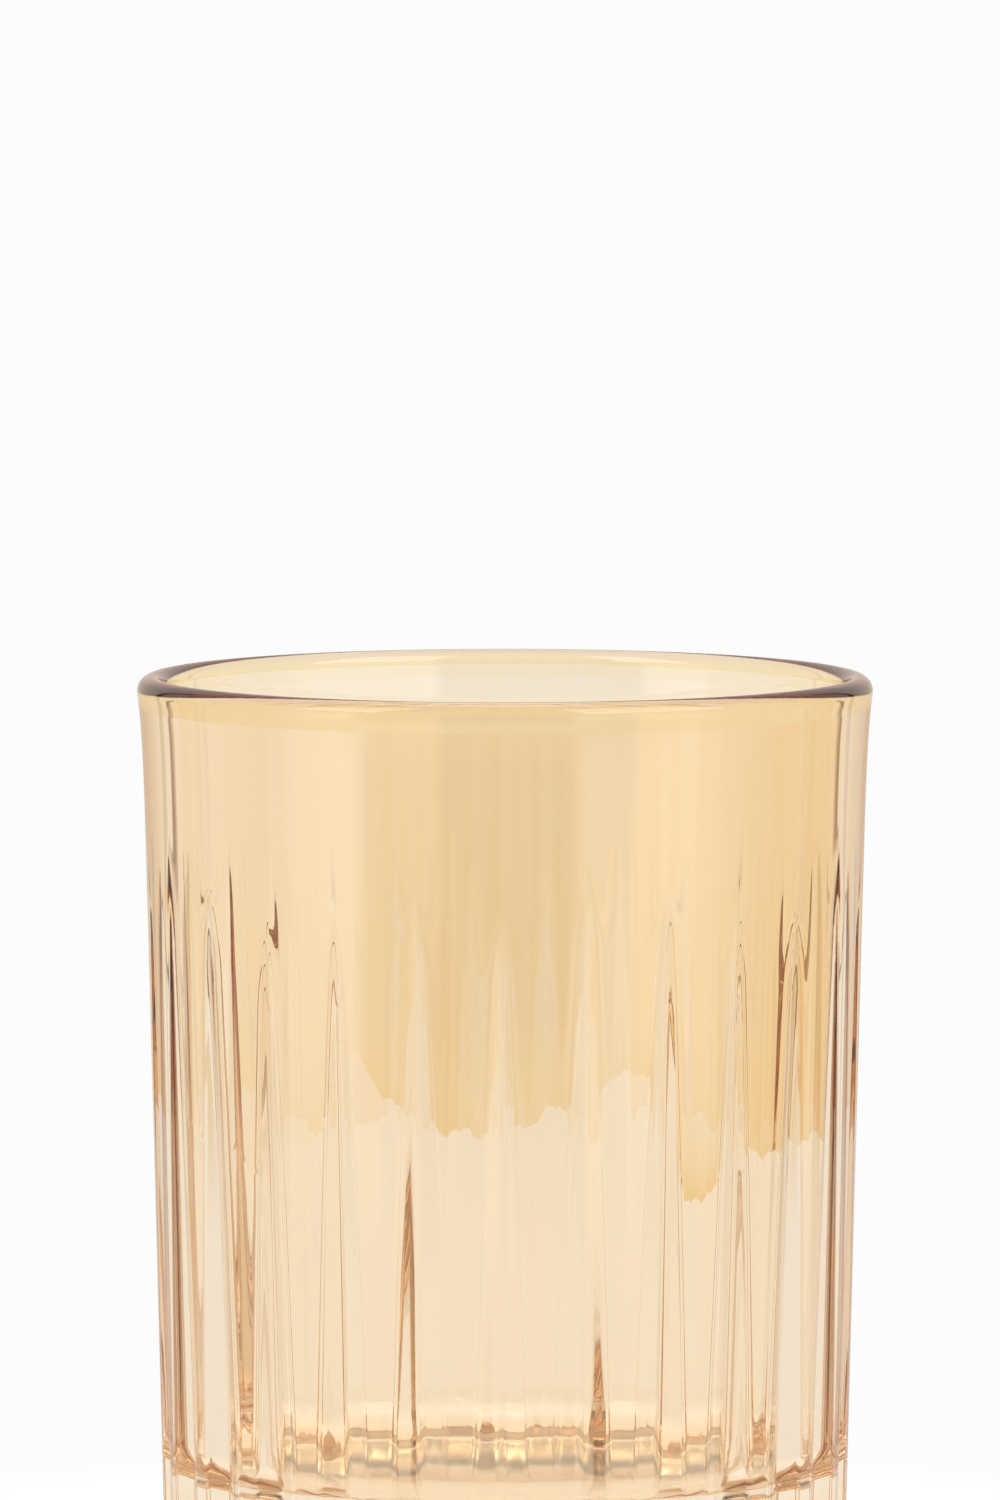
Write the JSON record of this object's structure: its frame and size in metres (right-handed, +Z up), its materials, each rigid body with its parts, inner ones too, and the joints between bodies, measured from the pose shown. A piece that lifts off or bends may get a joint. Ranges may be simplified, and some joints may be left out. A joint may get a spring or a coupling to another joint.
{
  "type": "vase",
  "caption": "Straight-sided art glass vase with a rounded lip wrap, long cut flutes, a heavy base and an amber overlay that ends in ragged tongues.",
  "frame": {"origin": "centre of the foot, on the surface that the vase stands on", "axes": "+Z up the axis of the vase, -Y towards the front of the picture"},
  "size_m": [0.11, 0.11, 0.14],
  "materials": {
    "rim_glass": "fire-polished, slightly smoky glass",
    "amber_glass": "thin transparent amber overlay, glossy",
    "casing_glass": "pale champagne glass, glossy, with cut and polished flutes",
    "bubble_glass": "pale champagne glass, glossy",
    "base_glass": "thick pale champagne glass, glossy, ground flat underneath"
  },
  "bodies": {
    "root": {"rim_bead": "rim_glass", "amber_overlay": "amber_glass", "fluted_casing": "casing_glass", "inner_bubble": "bubble_glass", "base_disc": "base_glass"}
  },
  "joints": []
}
